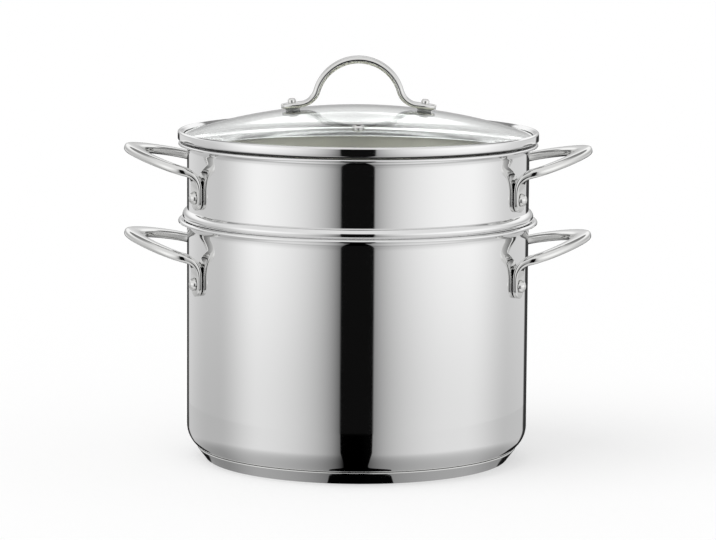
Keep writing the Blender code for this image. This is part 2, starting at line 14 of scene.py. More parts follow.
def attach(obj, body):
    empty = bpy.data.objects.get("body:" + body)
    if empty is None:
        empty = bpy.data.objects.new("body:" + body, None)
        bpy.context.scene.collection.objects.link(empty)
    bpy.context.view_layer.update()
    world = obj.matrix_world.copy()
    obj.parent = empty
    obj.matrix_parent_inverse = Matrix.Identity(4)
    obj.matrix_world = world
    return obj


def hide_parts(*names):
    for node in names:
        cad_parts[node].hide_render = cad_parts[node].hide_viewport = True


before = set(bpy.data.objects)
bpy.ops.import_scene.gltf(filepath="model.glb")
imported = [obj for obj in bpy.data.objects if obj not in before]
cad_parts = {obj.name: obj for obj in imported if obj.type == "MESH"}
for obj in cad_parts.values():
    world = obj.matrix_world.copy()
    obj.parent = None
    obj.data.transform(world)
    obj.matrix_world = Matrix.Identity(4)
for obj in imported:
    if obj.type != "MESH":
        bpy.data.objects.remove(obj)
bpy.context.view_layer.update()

# Facets
AROUND = 192  # facets round each large turned piece
SMALL_AROUND = 40  # facets round a rivet, a washer and the vent
GAP = 0.0003  # clearance left between two pieces that touch
SOFT_EDGE = 0.0003  # bevel at the edge of a rivet's tail or a washer
STRAIGHT = 0.002  # from a bend back to the last point of a straight sheet
SHARP = radians(32)  # an edge whose faces turn by more than this stays sharp
SWEPT_SHARP = radians(40)
MERGE = 1e-6  # points closer than this are one
ON_AXIS = 1e-9

# Pot
POT_RADIUS = 0.121
POT_WALL = 0.001
POT_HEIGHT = 0.171
POT_CORNER = 0.018
LIP_ROLL = 0.0055
LIP_SWEEP = radians(84)
LIP_BEND = radians(79)  # where the flare goes over into the curl of its edge
LIP_CURL = 0.0011
LIP_CURL_END = radians(-15)

# Bonded base
BASE_DEPTH = 0.0061
BASE_SKIN = 0.0006
BASE_FOOT_RADIUS = 0.108
BASE_SEAM_RADIUS = 0.1136
BASE_FOOT_ROUND = 0.0012
BASE_SEAM_BEAD = 0.0006  # half the width of the bright rolled edge along the seam
BASE_SEAM_GAP = 0.00008

# Strainer insert
INSERT_WALL = 0.0008
COLLAR_HEIGHT = 0.0546
BEAD_ROUND = 0.0046
BEAD_INSET = 0.0014
NECK_CLEARANCE = 0.003
NECK_FILLET = 0.0024
BASKET_BOTTOM = 0.025
BASKET_CORNER = 0.012
HOLE_RADIUS = 0.0034
HOLE_ROUND = 0.0002  # round of a punched edge
HOLE_POINTS = 28
SIDE_COLUMNS = 24
CELL = AROUND // SIDE_COLUMNS  # facets round the wall to each hole
SIDE_ROWS = 4
SIDE_ROW_LOW = 0.023
SIDE_ROW_PITCH = 0.024
FLOOR_RINGS = 3
FLOOR_RING_PITCH = 0.026
FLOOR_EDGE = 0.103  # flat part of the basket's floor

# Side handles
POT_RIVET_HEIGHT = 0.1299
INSERT_RIVET_HEIGHT = 0.1903
FOOT_ANGLE = radians(24.5)
FOOT_RADIUS = 0.0068
FOOT_END = 0.0086
FOOT_THICKNESS = 0.0034
FOOT_RISE = 0.0056
BEND_PULL = 0.55  # how full the bend from the foot into the arm is
ARM_WIDTH = 0.0105
ARM_THICKNESS = 0.006
ARM_REACH = 0.0401
ARM_SPREAD = 0.0545
ARM_SPLAY = radians(12)
ARM_ROOT_PULL = 0.0125
ARM_TIP_PULL = 0.02
ARM_RISE = 0.0189
ARM_TILT = radians(15)
END_BAR_WIDTH = 0.0118

# Side rivets
RIVET_SHANK = 0.0025
RIVET_HEAD = (0.0046, 0.0036)
RIVET_TAIL = (0.0045, 0.001)

# Lid
BAND_RADIUS = 0.1276
BAND_SKIN = 0.0007
BAND_OPENING = 0.1236
BAND_TOP = 0.0077  # the rolled top above the rim's underside
BAND_ROUND = 0.0012  # round of the rolled top
BAND_HEM = 0.0009  # round of the side's bottom
BAND_LIFT = 0.0009  # the side's bottom above the insert's lip
FLANGE_ROUND = 0.0005
STEP_ROUND = 0.0004
SHELF_ROUND = 0.0025  # from the shelf into the skirt
SKIRT_HEM = 0.0005
SKIRT_CLEARANCE = 0.0015
SKIRT_DEPTH = 0.0068
GLASS_RADIUS = 0.1253
GLASS_THICKNESS = 0.003
GLASS_RISE = 0.0198
GLASS_GROUND = 0.0008  # ground edge of the glass
LID_FOOT_OFFSET = 0.0464
LID_FOOT_RADIUS = 0.008
LID_FOOT_THICKNESS = 0.0034
ARCH_HEIGHT = 0.0355
ARCH_ROUND = 0.0306
ARCH_THICKNESS = 0.0048
ARCH_FILLET = 0.0135
LID_SHANK = 0.0018
LID_HEAD = (0.0029, 0.003)
LID_TAIL = (0.0036, 0.0014)
WASHER_RADIUS = 0.0052
WASHER_THICKNESS = 0.001
VENT_OFFSET = 0.0775
VENT_BORE = 0.0016
VENT_BARREL = 0.0024
VENT_FLANGE = 0.0042
VENT_FLANGE_THICKNESS = 0.0011

# Places that follow from the sizes above
LIP_CENTRE_RADIUS = POT_RADIUS + LIP_ROLL
POT_LIP_CENTRE = POT_HEIGHT - (LIP_ROLL + POT_WALL) * sin(LIP_SWEEP)
INSERT_HEIGHT = POT_HEIGHT + COLLAR_HEIGHT
INSERT_LIP_CENTRE = INSERT_HEIGHT - (LIP_ROLL + INSERT_WALL) * sin(LIP_SWEEP)
BEAD_CENTRE_RADIUS = POT_RADIUS - BEAD_INSET
NECK_RADIUS = POT_RADIUS - POT_WALL - NECK_CLEARANCE
BEAD_REACH = BEAD_ROUND + LIP_ROLL + POT_WALL + GAP
BEAD_ACROSS = LIP_CENTRE_RADIUS - BEAD_CENTRE_RADIUS
BEAD_CENTRE = POT_LIP_CENTRE + sqrt(BEAD_REACH ** 2 - BEAD_ACROSS ** 2)
BAND_BOTTOM = INSERT_HEIGHT + GAP
GLASS_ROUND = (BAND_OPENING ** 2 + GLASS_RISE ** 2) / (2 * GLASS_RISE)
GLASS_EDGE = BAND_BOTTOM + BAND_SKIN + GAP
GLASS_UNDER = -GLASS_THICKNESS - GAP  # one gap below the glass, in a frame on its outside
GLASS_CENTRE = GLASS_EDGE - sqrt((GLASS_ROUND - GLASS_THICKNESS) ** 2 - GLASS_RADIUS ** 2)
DOME_TOP = GLASS_CENTRE + GLASS_ROUND

# The third slot holds painted shade: near-black steel in the crevice under the lid band's side.
OUTSIDE, INSIDE, GROOVE_SHADE = 0, 1, 2  # material slots of a sheet-metal piece


# Shapes

def arc(centre, radius, start, end, steps):
    """Points on an arc, both ends included, in (radius, height) coordinates."""
    points = []
    for step in range(steps + 1):
        angle = start + (end - start) * step / steps
        points.append((centre[0] + radius * cos(angle), centre[1] + radius * sin(angle)))
    return points


def offset_line(line, distance):
    """The line moved to the right of its direction, with mitred corners."""
    moved = []
    for i, here in enumerate(line):
        here = Vector(here)
        before = (here - Vector(line[i - 1])).normalized() if i > 0 else None
        after = (Vector(line[i + 1]) - here).normalized() if i < len(line) - 1 else None
        before = before or after
        after = after or before
        normal_before = Vector((before.y, -before.x))
        normal_after = Vector((after.y, -after.x))
        mitre = (normal_before + normal_after).normalized()
        moved.append(tuple(here + mitre * (distance / mitre.dot(normal_before))))
    return moved


def round_end(line, thickness, at_end):
    """Half circle over the cut edge of a sheet, from its right side to its left side."""
    end = Vector(line[-1] if at_end else line[0])
    back = Vector(line[-2] if at_end else line[1])
    out = (end - back).normalized()
    right = Vector((out.y, -out.x))
    steps = 5
    points = []
    for i in range(1, steps):
        angle = pi * i / steps
        points.append(tuple(end + (right * cos(angle) + out * sin(angle)) * thickness / 2))
    return points


def round_points(count, radius, x=0.0, y=0.0):
    """Points of a circle, as pairs."""
    turns = [2 * pi * i / count for i in range(count)]
    return [(x + radius * cos(a), y + radius * sin(a)) for a in turns]


def skin(bm, loops, slot=OUTSIDE):
    """Faces between closed loops of as many points, from each to the next."""
    for one, other in zip(loops, loops[1:]):
        for i in range(len(one)):
            j = (i + 1) % len(one)
            bm.faces.new((one[i], one[j], other[j], other[i])).material_index = slot


def spin(bm, outline, facets, closed=False, slot=OUTSIDE):
    """Turn an outline round Z, with one material slot for all of its faces."""
    rings = []
    for radius, height in outline:
        circle = round_points(facets, radius) if radius > ON_AXIS else [(0, 0)]
        rings.append([bm.verts.new((x, y, height)) for x, y in circle])
    pairs = list(zip(rings, rings[1:]))
    if closed:
        pairs.append((rings[-1], rings[0]))
    for low, high in pairs:
        for i in range(facets):
            j = (i + 1) % facets
            corners = [low[i % len(low)], low[j % len(low)], high[j % len(high)], high[i % len(high)]]
            bm.faces.new(list(dict.fromkeys(corners))).material_index = slot


def mesh_of(bm):
    """Mesh of what was built."""
    mesh = bpy.data.meshes.new("mesh")
    bm.to_mesh(mesh)
    bm.free()
    return mesh


def finish_mesh(bm, sharp=SHARP):
    """Mesh with merged seams, faces that point out and smooth shading up to a clear edge."""
    bmesh.ops.remove_doubles(bm, verts=bm.verts, dist=MERGE)
    bmesh.ops.recalc_face_normals(bm, faces=bm.faces)
    mesh = mesh_of(bm)
    mesh.shade_smooth()
    mesh.set_sharp_from_angle(angle=sharp)
    return mesh


def turned(outline, facets=SMALL_AROUND, ring=False):
    """Piece turned from its outline, which is closed if the piece is a ring."""
    bm = bmesh.new()
    spin(bm, outline, facets, ring)
    return finish_mesh(bm)


def spin_sheet(bm, line, thickness, ends):
    """Both sides of a sheet turned from its middle line, and a round edge at its named ends."""
    right = offset_line(line, thickness / 2)
    left = offset_line(line, -thickness / 2)
    spin(bm, right, AROUND, slot=OUTSIDE)
    spin(bm, left, AROUND, slot=INSIDE)
    if "last" in ends:
        spin(bm, [right[-1]] + round_end(line, thickness, True) + [left[-1]], AROUND)
    if "first" in ends:
        spin(bm, [left[0]] + round_end(line, thickness, False) + [right[0]], AROUND)


def sheet_turned(line, thickness, ends=("last",)):
    """Piece of sheet metal turned from the middle line of its sheet."""
    bm = bmesh.new()
    spin_sheet(bm, line, thickness, ends)
    return finish_mesh(bm)


def rounded_section(width, thickness, softness):
    """Section of a bar: a rectangle of these half sizes with round corners."""
    radius = min(softness * thickness, 0.95 * width)
    steps = 5
    points = []
    for quarter, (x, y) in enumerate(((1, 1), (-1, 1), (-1, -1), (1, -1))):
        for i in range(steps + 1):
            angle = pi / 2 * (quarter + i / steps)
            points.append((x * (width - radius) + radius * cos(angle),
                           y * (thickness - radius) + radius * sin(angle)))
    return points


def swept(stations, softness):
    """Loft one bar through stations of (centre, along, side, half width, half thickness)."""
    bm = bmesh.new()
    loops = []
    for centre, along, side, width, thickness in stations:
        side = (side - along * side.dot(along)).normalized()
        outward = side.cross(along)
        section = rounded_section(width, thickness, softness)
        loops.append([bm.verts.new(centre + side * x + outward * y) for x, y in section])
    skin(bm, loops)
    bm.faces.new(loops[0])
    bm.faces.new(loops[-1])
    return finish_mesh(bm, SWEPT_SHARP)


def mirrored(stations, axis):
    """The same stations seen in a mirror across an axis, run the other way."""
    flip = Matrix.Scale(-1, 3, axis)
    return [(flip @ p, -(flip @ a), flip @ s, w, t) for p, a, s, w, t in stations[::-1]]


def smooth(amount):
    """0 to 1 with level ends."""
    return amount * amount * (3 - 2 * amount)


def wall_place(angle, height):
    """Frame on the outside of the pot's wall, with Z straight out."""
    turn = Matrix.Rotation(angle, 4, "Z") @ Matrix.Rotation(pi / 2, 4, "Y")
    out = Vector((POT_RADIUS * cos(angle), POT_RADIUS * sin(angle), height))
    return Matrix.Translation(out) @ turn


def dome_place(x, y):
    """Frame on the outside of the glass, with Z square to the dome."""
    height = sqrt(GLASS_ROUND ** 2 - x ** 2 - y ** 2)
    normal = Vector((x, y, height)).normalized()
    turn = Vector((0, 0, 1)).rotation_difference(normal).to_matrix().to_4x4()
    return Matrix.Translation(Vector((x, y, GLASS_CENTRE + height))) @ turn


def add_object(name, data):
    """New object in the scene."""
    made = bpy.data.objects.new(name, data)
    bpy.context.scene.collection.objects.link(made)
    return made


def put(name, mesh, body, materials, replaced, matrix=None):
    """Piece of the visual model: its place, its looks, the body it rides on and what it replaces."""
    piece = add_object(name, mesh.copy())
    piece.data.name = name
    if matrix is not None:
        piece.matrix_world = matrix
    for look in materials:
        piece.data.materials.append(look)
    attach(piece, body)
    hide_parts(*replaced)


# Node trees

TURNED_LINES = 2600.0  # lines to the metre that polishing in a lathe leaves
POLISH_GRAIN = 900.0
POLISH_CLOUDS = 38.0
LINE_DEPTH = 0.00005


def add(tree, kind, **settings):
    """New shader node of this kind."""
    made = tree.nodes.new("ShaderNode" + kind)
    for key, value in settings.items():
        setattr(made, key, value)
    return made


def feed(value, socket):
    """Give a socket a number or a colour, or link another socket to it."""
    if isinstance(value, (int, float, tuple)):
        socket.default_value = value
    else:
        socket.id_data.links.new(value, socket)


def place_on(tree):
    """Place on the piece, in metres from its own origin."""
    return add(tree, "TexCoord").outputs["Object"]


def split(vector):
    """The X, Y and Z of a vector."""
    parts = add(vector.id_data, "SeparateXYZ")
    feed(vector, parts.inputs[0])
    return parts.outputs


def calc(operation, *values):
    """Math node on numbers or sockets, in the tree of its sockets."""
    tree = next(value.id_data for value in values if not isinstance(value, (int, float)))
    made = add(tree, "Math", operation=operation)
    for value, socket in zip(values, made.inputs):
        feed(value, socket)
    return made.outputs[0]


def times(first, *others):
    """Product of numbers or sockets."""
    for other in others:
        first = calc("MULTIPLY", first, other)
    return first


def from_axis(x, y):
    """Distance from the Z axis."""
    squares = calc("ADD", calc("POWER", x, 2.0), calc("POWER", y, 2.0))
    return calc("SQRT", squares)


def ramp(value, low, high, start=0.0, end=1.0):
    """From start to end while the value goes from low to high, with soft ends."""
    made = add(value.id_data, "MapRange", interpolation_type="SMOOTHSTEP")
    feed(value, made.inputs["Value"])
    for key, number in (("From Min", low), ("From Max", high), ("To Min", start), ("To Max", end)):
        feed(number, made.inputs[key])
    return made.outputs["Result"]


def noise(vector, scale, detail):
    """Noise of this many lumps to the metre."""
    made = add(vector.id_data, "TexNoise")
    feed(vector, made.inputs["Vector"])
    feed(scale, made.inputs["Scale"])
    feed(detail, made.inputs["Detail"])
    return made.outputs["Fac"]


def new_material(name, colour, metallic, roughness):
    """Material with its node tree and its shader."""
    look = bpy.data.materials.new(name)
    look.use_nodes = True
    shader = look.node_tree.nodes["Principled BSDF"]
    feed((*colour, 1), shader.inputs["Base Color"])
    feed(metallic, shader.inputs["Metallic"])
    feed(roughness, shader.inputs["Roughness"])
    return look, look.node_tree, shader


def steel(name, colour, roughness, spread, bump, turned_lines):
    """Bare metal, with lines round the Z axis where it was polished in a lathe."""
    look, tree, shader = new_material(name, colour, 1.0, roughness)
    place = place_on(tree)
    if turned_lines:
        x, y, z = split(place)
        joined = add(tree, "CombineXYZ")
        feed(from_axis(x, y), joined.inputs["X"])
        feed(z, joined.inputs["Z"])
        lines = noise(joined.outputs[0], TURNED_LINES, 2.0)
    else:
        lines = noise(place, POLISH_GRAIN, 2.0)
    cloud = noise(place, POLISH_CLOUDS, 4.0)
    mixed = calc("ADD", times(lines, 0.5), times(cloud, 0.5))
    varied = ramp(mixed, 0.35, 0.65, roughness - spread, roughness + spread)
    feed(varied, shader.inputs["Roughness"])
    relief = add(tree, "Bump")
    feed(bump, relief.inputs["Strength"])
    feed(LINE_DEPTH, relief.inputs["Distance"])
    feed(lines, relief.inputs["Height"])
    feed(relief.outputs["Normal"], shader.inputs["Normal"])
    return look


def brushed_round(look):
    """Fine brushing round Z, which draws reflections out up and down the wall."""
    tree = look.node_tree
    shader = tree.nodes["Principled BSDF"]
    feed(0.85, shader.inputs["Anisotropic"])
    feed(0.25, shader.inputs["Anisotropic Rotation"])
    tangent = add(tree, "Tangent", direction_type="RADIAL", axis="Z")
    feed(tangent.outputs[0], shader.inputs["Tangent"])


POLISHED = steel("polished_steel", (0.83, 0.83, 0.83), 0.045, 0.012, 0.02, True)
BRIGHT = steel("bright_handle_steel", (0.79, 0.79, 0.78), 0.07, 0.02, 0.02, False)
SATIN = steel("satin_steel", (0.76, 0.76, 0.74), 0.20, 0.05, 0.15, True)
INNER = steel("brushed_inner_steel", (0.92, 0.91, 0.825), 0.48, 0.04, 0.08, True)
brushed_round(INNER)
# Painted shade: near-black steel that darkens the crevice between the lid band's side and the insert's
# lip.
FOLD_SHADE = steel("painted_fold_shade", (0.06, 0.06, 0.06), 0.35, 0.1, 0.2, True)
BASE_SATIN = steel("satin_base_steel", (0.70, 0.70, 0.70), 0.13, 0.04, 0.12, True)


def see_through(name, colour, weight, roughness, scale, detail, fade):
    """Clear material whose gloss varies a little with a fine grain or film."""
    look, tree, shader = new_material(name, colour, 0.0, roughness)
    feed(weight, shader.inputs["Transmission Weight"])
    feed(1.5, shader.inputs["IOR"])
    feed(ramp(noise(place_on(tree), scale, detail), *fade), shader.inputs["Roughness"])
    return look


GLASS = see_through("clear_glass", (0.965, 0.985, 0.975), 1.0, 0.0, 60.0, 3.0, (0.45, 0.8, 0.0, 0.02))
SILICONE = see_through("clear_silicone", (0.80, 0.81, 0.79), 0.85, 0.35, 1500.0, 2.0,
                       (0.3, 0.7, 0.28, 0.42))


# Pot and base

def lip_line(centre_height, wall):
    """Flare of a lip, and the tight curl down at its end."""
    middle = LIP_ROLL + wall / 2
    turn = pi - LIP_BEND
    reach = middle - LIP_CURL
    curl_centre = (LIP_CENTRE_RADIUS + reach * cos(turn), centre_height + reach * sin(turn))
    line = arc((LIP_CENTRE_RADIUS, centre_height), middle, pi, turn, 12)
    return line + arc(curl_centre, LIP_CURL, turn, LIP_CURL_END, 8)[1:]


def polish_lip(mesh, height):
    """The lip is polished all round, where the inside of the sheet turns outward."""
    for polygon in mesh.polygons:
        if polygon.center.z > height and polygon.center.xy.length > POT_RADIUS:
            polygon.material_index = OUTSIDE


def pot_shell():
    """The pot: floor, round corner, wall and lip of one sheet."""
    half = POT_WALL / 2
    corner = (POT_RADIUS - POT_CORNER, BASE_DEPTH + POT_CORNER)
    line = [(0, BASE_DEPTH + half), (corner[0] - STRAIGHT, BASE_DEPTH + half)]
    line += arc(corner, POT_CORNER - half, -pi / 2, 0, 14)
    line += [(POT_RADIUS - half, POT_LIP_CENTRE - STRAIGHT)]
    line += lip_line(POT_LIP_CENTRE, POT_WALL)
    mesh = sheet_turned(line, POT_WALL)
    polish_lip(mesh, POT_LIP_CENTRE)
    put("pot_body_sheet", mesh, "pot", [POLISHED, SATIN], ["pot_shell"])


def corner_height(radius):
    """Height at which the base's cap is one gap clear of the pot's bottom corner."""
    across = radius - (POT_RADIUS - POT_CORNER)
    return BASE_DEPTH + POT_CORNER - sqrt((POT_CORNER + GAP) ** 2 - across ** 2)


def base_cap():
    """Steel cap of the base: flat foot, slanted side and a bright rolled edge along its seam."""
    seam_inner = BASE_SEAM_RADIUS - 2 * BASE_SKIN
    foot_inner = BASE_FOOT_RADIUS - BASE_SKIN
    outline = [(0, 0), (0.04, 0), (0.08, 0)]
    round_centre = (BASE_FOOT_RADIUS - BASE_FOOT_ROUND, BASE_FOOT_ROUND)
    outline += arc(round_centre, BASE_FOOT_ROUND, -pi / 2, radians(-30), 4)
    corner = Vector((POT_RADIUS - POT_CORNER, BASE_DEPTH + POT_CORNER))
    bead_reach = POT_CORNER + BASE_SEAM_GAP + BASE_SEAM_BEAD
    fall = acos((BASE_SEAM_RADIUS - BASE_SEAM_BEAD - corner.x) / bead_reach)
    bead = corner + Vector((cos(fall), -sin(fall))) * bead_reach
    outline += arc(bead, BASE_SEAM_BEAD, radians(-40), pi - fall, 10)
    outline += [(seam_inner, corner_height(seam_inner)), (foot_inner, BASE_SKIN), (0, BASE_SKIN)]
    mesh = turned(outline, AROUND)
    bright = 1
    for polygon in mesh.polygons:
        if polygon.center.z > bead.y - 0.5 * BASE_SEAM_BEAD and polygon.center.xy.length > bead.x:
            polygon.material_index = bright
    put("base_cap_sheet", mesh, "pot", [BASE_SATIN, BRIGHT], ["base_cap"])


# Strainer insert

def basket_rows():
    """Lower end, middle and upper end of each row's band of wall."""
    bands = []
    for row in range(SIDE_ROWS):
        middle = BASKET_BOTTOM + SIDE_ROW_LOW + row * SIDE_ROW_PITCH
        low = middle - SIDE_ROW_PITCH / 2
        if row == 0:
            low = BASKET_BOTTOM + BASKET_CORNER + 0.0005
        bands.append((low, middle, middle + SIDE_ROW_PITCH / 2))
    return bands


def pierced_cell(bm, column, band, shift):
    """One column of one row: its outer and inner skin round a punched hole, and the hole."""
    low, middle, high = band
    step = 2 * pi / AROUND
    first = CELL * column + shift
    centre = (first + CELL / 2) * step
    rise = (HOLE_POINTS - 2 * CELL) // 2
    border = [((first + i) * step, low) for i in range(CELL)]
    border += [((first + CELL) * step, low + (high - low) * i / rise) for i in range(rise)]
    border += [((first + CELL - i) * step, high) for i in range(CELL)]
    border += [(first * step, high - (high - low) * i / rise) for i in range(rise)]

    def loop(points, radius):
        return [bm.verts.new((radius * cos(a), radius * sin(a), z)) for a, z in points]

    def circle(size):
        points = []
        for angle, height in border:
            turn = atan2(height - middle, (angle - centre) * NECK_RADIUS)
            points.append((centre + size * cos(turn) / NECK_RADIUS, middle + size * sin(turn)))
        return points

    inside = NECK_RADIUS - INSERT_WALL
    narrow = circle(HOLE_RADIUS)
    wide = circle(HOLE_RADIUS + HOLE_ROUND)
    outer = [loop(border, NECK_RADIUS), loop(wide, NECK_RADIUS), loop(narrow, NECK_RADIUS - HOLE_ROUND)]
    inner = [loop(narrow, inside + HOLE_ROUND), loop(wide, inside), loop(border, inside)]
    skin(bm, outer)
    skin(bm, [outer[-1]] + inner, INSIDE)


def floor_holes():
    """Middles of the holes in the basket's floor: one at its centre and rings round it."""
    centres = [(0.0, 0.0)]
    for ring in range(1, FLOOR_RINGS + 1):
        centres += round_points(6 * ring, ring * FLOOR_RING_PITCH)
    return centres


def flat_with_holes(centres, radius):
    """Points and faces of the flat disc round its holes."""
    points = round_points(AROUND, FLOOR_EDGE)
    edges = [(i, (i + 1) % AROUND) for i in range(AROUND)]
    for x, y in centres:
        start = len(points)
        points += round_points(HOLE_POINTS, radius, x, y)
        edges += [(start + i, start + (i + 1) % HOLE_POINTS) for i in range(HOLE_POINTS)]
    points = [Vector(point) for point in points]
    flat, _, faces, *_ = delaunay_2d_cdt(points, edges, [], 1, 1e-7)
    kept = []
    for face in faces:
        middle = sum((flat[i] for i in face), Vector((0, 0))) / len(face)
        if all((middle - Vector(centre)).length > radius * 0.98 for centre in centres):
            kept.append(face)
    return flat, kept


def pierced_floor(bm):
    """The flat of the basket's floor with its rings of holes."""
    centres = floor_holes()
    wide = HOLE_RADIUS + HOLE_ROUND
    top = BASKET_BOTTOM + INSERT_WALL
    flat, faces = flat_with_holes(centres, wide)
    for height, slot in ((BASKET_BOTTOM, OUTSIDE), (top, INSIDE)):
        verts = [bm.verts.new((p.x, p.y, height)) for p in flat]
        for face in faces:
            bm.faces.new([verts[i] for i in face]).material_index = slot
        bmesh.ops.delete(bm, geom=[v for v in verts if not v.link_faces], context="VERTS")
    walls = ((BASKET_BOTTOM, wide), (BASKET_BOTTOM + HOLE_ROUND, HOLE_RADIUS),
             (top - HOLE_ROUND, HOLE_RADIUS), (top, wide))
    for x, y in centres:
        loops = []
        for height, size in walls:
            loops.append([bm.verts.new((*p, height)) for p in round_points(HOLE_POINTS, size, x, y)])
        skin(bm, loops, INSIDE)


def true_normals(mesh, low, high):
    """Exact normals on the pierced wall and floor, whose facets vary."""
    square = 0.99
    upright = 0.05
    normals = [(0.0, 0.0, 0.0)] * len(mesh.loops)
    for polygon in mesh.polygons:
        level = abs(polygon.normal.z)
        on_floor = level > square and polygon.center.z < BASKET_BOTTOM + 2 * INSERT_WALL
        on_wall = level < upright and low < polygon.center.z < high
        for loop in polygon.loop_indices:
            place = mesh.vertices[mesh.loops[loop].vertex_index].co
            radial = Vector((place.x, place.y, 0)).normalized()
            outward = polygon.normal.dot(radial)
            if on_floor:
                normals[loop] = (0, 0, copysign(1, polygon.normal.z))
            elif on_wall and abs(outward) > square:
                normals[loop] = tuple(radial * copysign(1, outward))
    mesh.normals_split_custom_set(normals)


def insert_line_high(start):
    """Middle line of the insert above its holes: neck, bead, collar and lip."""
    half = INSERT_WALL / 2
    neck = NECK_RADIUS - half
    bead_round = BEAD_ROUND - half
    fillet = NECK_FILLET - half
    fillet_height = BEAD_CENTRE - bead_round - fillet
    line = [(neck, start), (neck, fillet_height - 0.001)]
    line += arc((neck + fillet, fillet_height), fillet, pi, pi / 2, 6)
    bead_end = acos((POT_RADIUS - half - BEAD_CENTRE_RADIUS) / bead_round)
    line += arc((BEAD_CENTRE_RADIUS, BEAD_CENTRE), bead_round, -pi / 2, bead_end, 18)
    line += [(POT_RADIUS - half, INSERT_LIP_CENTRE - STRAIGHT)]
    return line + lip_line(INSERT_LIP_CENTRE, INSERT_WALL)


def insert_shell():
    """The strainer: collar, bead and perforated basket of one sheet."""
    bm = bmesh.new()
    half = INSERT_WALL / 2
    neck = NECK_RADIUS - half
    corner = BASKET_CORNER - half
    floor_middle = BASKET_BOTTOM + half
    bands = basket_rows()
    low, high = bands[0][0], bands[-1][2]
    line_low = [(FLOOR_EDGE, floor_middle)]
    line_low += arc((neck - corner, floor_middle + corner), corner, -pi / 2, 0, 10) + [(neck, low)]
    spin_sheet(bm, line_low, INSERT_WALL, ())
    spin_sheet(bm, insert_line_high(high), INSERT_WALL, ("last",))
    stagger = CELL // 4
    for row, band in enumerate(bands):
        shift = stagger if row % 2 else -stagger
        for column in range(SIDE_COLUMNS):
            pierced_cell(bm, column, band, shift)
    pierced_floor(bm)
    mesh = finish_mesh(bm)
    true_normals(mesh, low, high)
    polish_lip(mesh, INSERT_LIP_CENTRE)
    put("insert_body_sheet", mesh, "insert", [POLISHED, INNER], ["insert_shell"])


# Side handles and their rivets

def foot_tip(centre, along, side, radius, thickness):
    """Stations of a foot's half round end, up to its full width at the centre."""
    stations = []
    steps = 9
    first = radians(6)
    for i in range(steps + 1):
        turn = first + (pi / 2 - first) * i / steps
        back = along * radius * cos(turn)
        stations.append((centre - back, along, side, radius * sin(turn), thickness / 2))
    return stations


def arm_knots():
    """Control points of half a loop, from its root to the middle of its end bar."""
    plane_along = Vector((cos(ARM_TILT), 0, sin(ARM_TILT)))
    across = Vector((0, 1, 0))
    root = Vector((POT_RADIUS, ARM_SPREAD, ARM_RISE))
    tip = Vector((POT_RADIUS, 0, ARM_RISE)) + plane_along * ARM_REACH
    splayed = plane_along * cos(ARM_SPLAY) + across * sin(ARM_SPLAY)
    return root, root + splayed * ARM_ROOT_PULL, tip + across * ARM_TIP_PULL, tip


def curve_along(knots, share):
    """Direction of the curve with these four control points."""
    rest = 1 - share
    steps = [after - before for before, after in zip(knots, knots[1:])]
    weights = (rest ** 2, 2 * rest * share, share ** 2)
    return sum((step * weight for step, weight in zip(steps, weights)), Vector((0, 0, 0))).normalized()


def foot_bend(foot, around, knots, arm_side):
    """Stations of the bend from a foot into its arm."""
    up = Vector((0, 0, 1))
    start = foot + up * FOOT_RISE
    end = knots[0]
    pull = BEND_PULL * (ARM_RISE - FOOT_RISE)
    bend = interpolate_bezier(start, start + up * pull, end - curve_along(knots, 0) * pull, end, 17)
    stations = []
    for i, point in enumerate(bend[:-1]):
        share = i / (len(bend) - 1)
        along = up if i == 0 else (bend[i + 1] - bend[i - 1]).normalized()
        grown = smooth(share)
        width = FOOT_RADIUS * (1 - grown) + ARM_WIDTH / 2 * grown
        thickness = FOOT_THICKNESS * (1 - grown) + ARM_THICKNESS * grown
        stations.append((point, along, around.lerp(arm_side, share), width, thickness / 2))
    return stations


def side_handle_half():
    """Stations of half a side handle, up to the middle of its end bar."""
    out = Vector((cos(FOOT_ANGLE), sin(FOOT_ANGLE), 0))
    around = Vector((-out.y, out.x, 0))
    up = Vector((0, 0, 1))
    foot = out * (POT_RADIUS + GAP + FOOT_THICKNESS / 2)
    tip_centre = foot - up * (FOOT_END - FOOT_RADIUS)
    stations = foot_tip(tip_centre, up, around, FOOT_RADIUS, FOOT_THICKNESS)
    knots = arm_knots()
    plane_up = Vector((-sin(ARM_TILT), 0, cos(ARM_TILT)))
    stations += foot_bend(foot, around, knots, plane_up.cross(curve_along(knots, 0)))
    arm = interpolate_bezier(*knots, 21)
    for i, point in enumerate(arm):
        share = i / (len(arm) - 1)
        width = ARM_WIDTH + (END_BAR_WIDTH - ARM_WIDTH) * smooth(share)
        along = curve_along(knots, share)
        stations.append((point, along, plane_up.cross(along), width / 2, ARM_THICKNESS / 2))
    return stations


def rivet_outline(shank, tail, head, inner, outer, fullness=1.0):
    """Outline of a set rivet: a pressed tail and a head that is domed, or flatter if fuller."""
    low = inner - tail[1]
    points = [(0, low), (tail[0] - SOFT_EDGE, low), (tail[0], low + SOFT_EDGE)]
    points += [(tail[0], inner), (shank, inner), (shank, outer)]
    steps = 10
    for i in range(steps):
        angle = pi / 2 * i / steps
        out = cos(angle) ** (1 / fullness)
        up = sin(angle) ** (1 / fullness)
        points.append((head[0] * out, outer + head[1] * up))
    return points + [(0, outer + head[1])]


def side_rivet(wall):
    """A rivet in its own frame: Z points out of the wall and 0 is the wall's outside."""
    inside = POT_RADIUS - wall
    inner = -wall - RIVET_TAIL[0] ** 2 / (2 * inside) - GAP
    outer = GAP + FOOT_THICKNESS + GAP
    return turned(rivet_outline(RIVET_SHANK, RIVET_TAIL, RIVET_HEAD, inner, outer))


